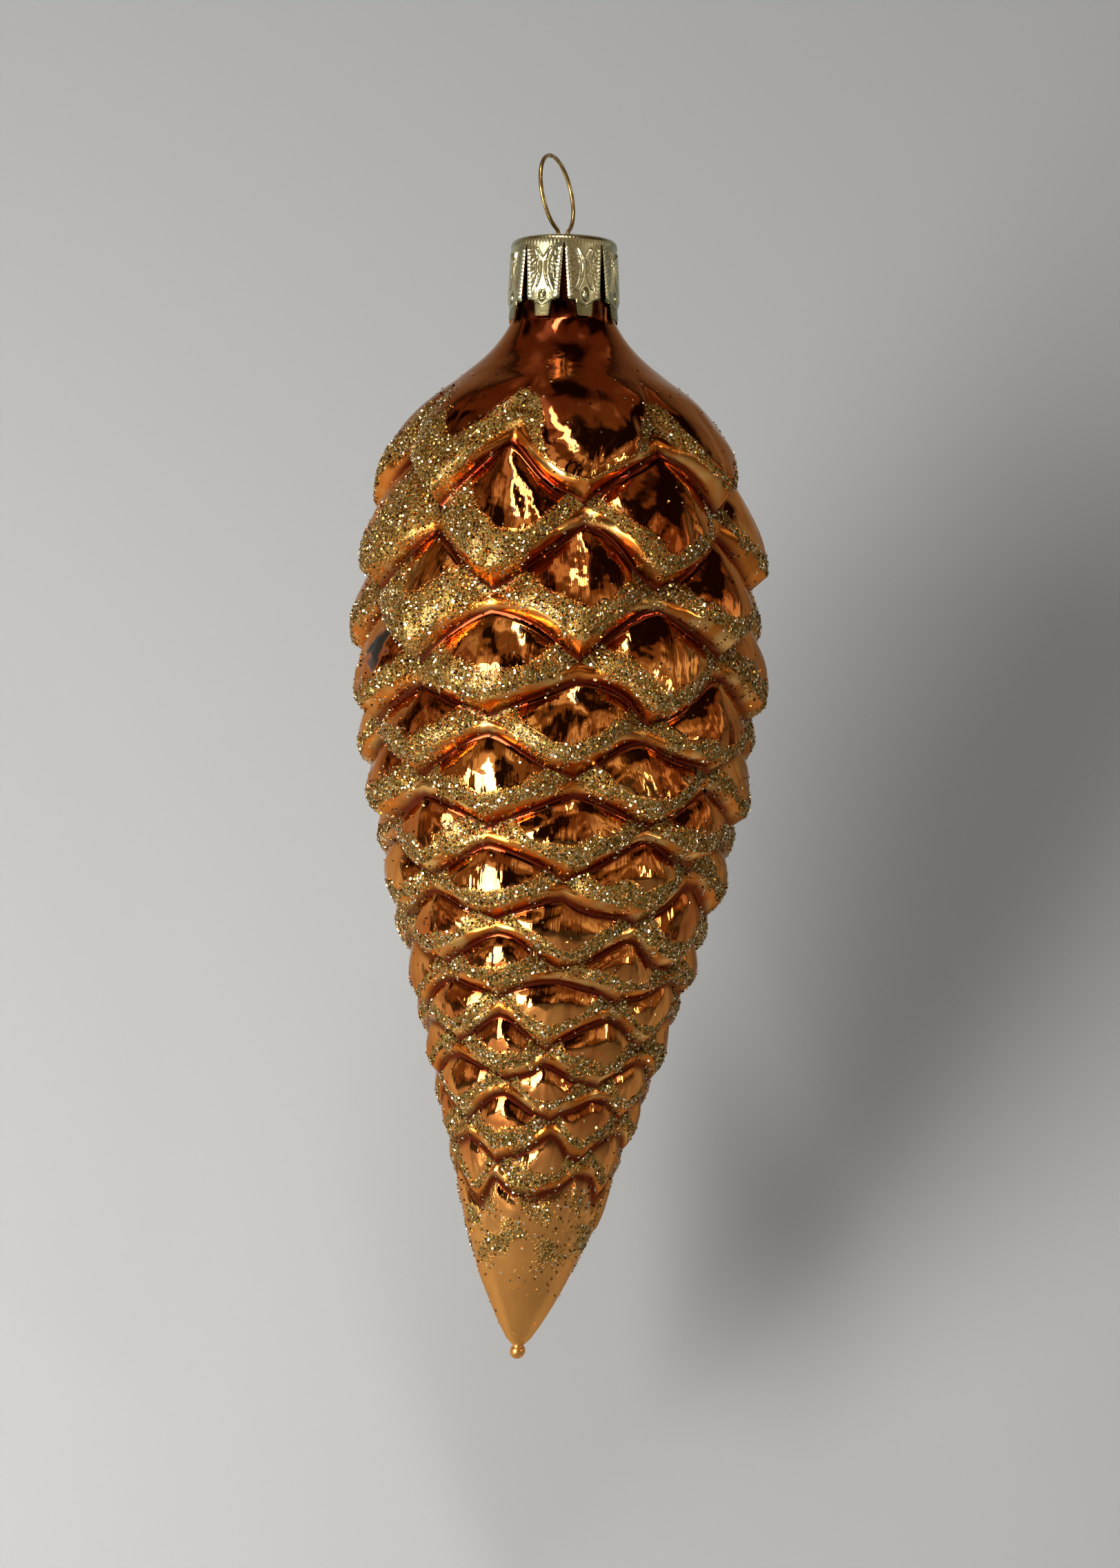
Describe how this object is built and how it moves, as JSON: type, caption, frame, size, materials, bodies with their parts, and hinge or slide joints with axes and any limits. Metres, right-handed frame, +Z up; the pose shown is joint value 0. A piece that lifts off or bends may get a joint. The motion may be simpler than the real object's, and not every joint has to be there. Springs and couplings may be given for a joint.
{
  "type": "pine cone ornament",
  "caption": "Hanging blown glass ornament shaped as a pine cone, tip down: overlapping diamond scales with glittered lips, a stamped crown cap and a sprung wire loop.",
  "frame": {"origin": "inside top of the hanging loop, where a hook bears", "axes": "+Z up along the ornament, which hangs tip down; -Y towards the front"},
  "size_m": [0.0489, 0.049, 0.1397],
  "materials": {
    "lacquered_glass": "silvered inside, amber lacquer outside, gold glitter on the scale lips",
    "cap_metal": "gold-lacquered sheet, glossy, stamped",
    "spring_wire": "drawn, slightly dulled"
  },
  "bodies": {
    "root": {"glass_cone": "lacquered_glass", "cap": "cap_metal", "hanger_wire": "spring_wire"}
  },
  "joints": []
}
